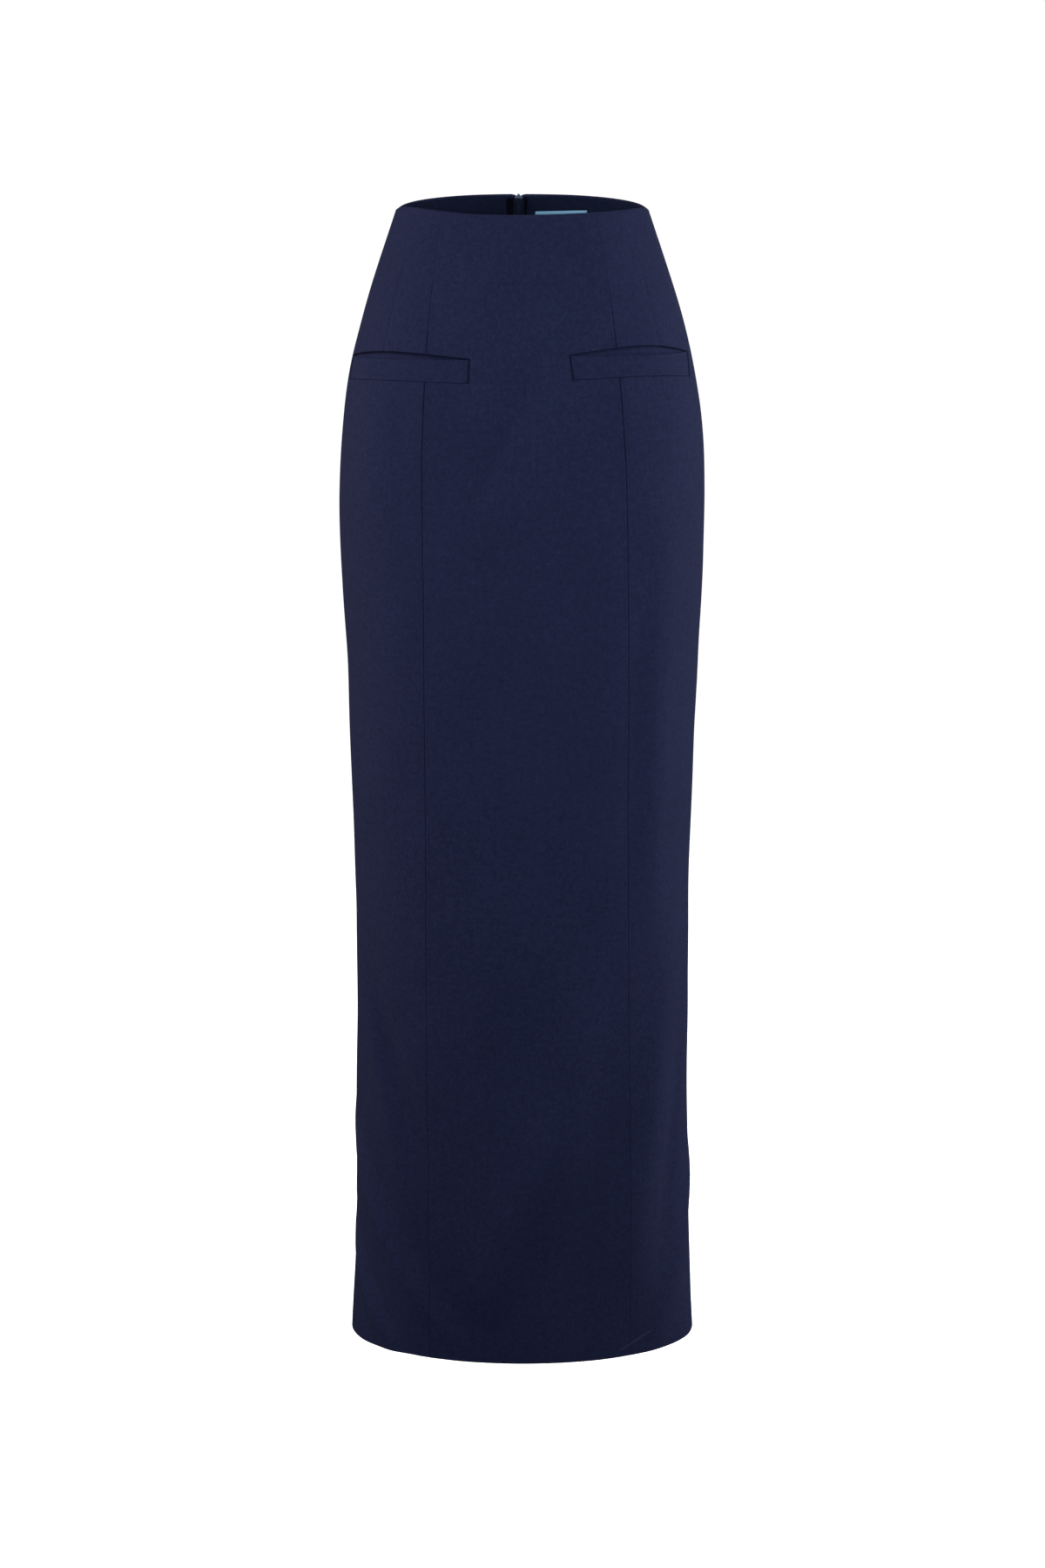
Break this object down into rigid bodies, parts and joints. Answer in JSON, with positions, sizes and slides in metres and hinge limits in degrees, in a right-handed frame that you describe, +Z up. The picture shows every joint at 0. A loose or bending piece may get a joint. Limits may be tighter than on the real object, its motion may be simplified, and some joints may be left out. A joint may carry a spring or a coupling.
{
  "type": "long high-waisted pencil skirt",
  "caption": "Ankle-long high-waisted pencil skirt in its worn, filled-out form, with princess seams, gaping welt pockets, a concealed centre-back zip and an open waist and hem.",
  "frame": {"origin": "the middle of the waist opening, level with the waist edge at the side seams, where the wearer's waist holds the skirt", "axes": "+Z up through the waist; -Y is the wearer's front and +X the wearer's left"},
  "size_m": [0.3218, 0.2521, 1.0253],
  "materials": {
    "suiting": "fine navy suiting, matt with a faint sheen",
    "tape": "woven navy zip tape",
    "enamel": "navy enamel on metal, half gloss",
    "label_cloth": "light blue woven label, blank, slight sheen"
  },
  "bodies": {
    "skirt": {"front_center": "suiting", "front_side_left": "suiting", "front_side_right": "suiting", "back_left": "suiting", "back_right": "suiting", "facing_front": "suiting", "facing_back_left": "suiting", "facing_back_right": "suiting", "pocket_welt_left": "suiting", "pocket_welt_right": "suiting", "pocket_bag_left": "suiting", "pocket_bag_right": "suiting", "zip_tape_left": "tape", "zip_tape_right": "tape", "zip_slider": "enamel", "label": "label_cloth"},
    "zip_pull": {"zip_pull": "enamel"}
  },
  "joints": [
    {"name": "zip_pull_swing", "type": "hinge", "parent": "skirt", "child": "zip_pull", "pos_m": [-0.00327, 0.09311, -0.00349], "axis": [1, 0, 0], "range_deg": [0, 155]}
  ]
}
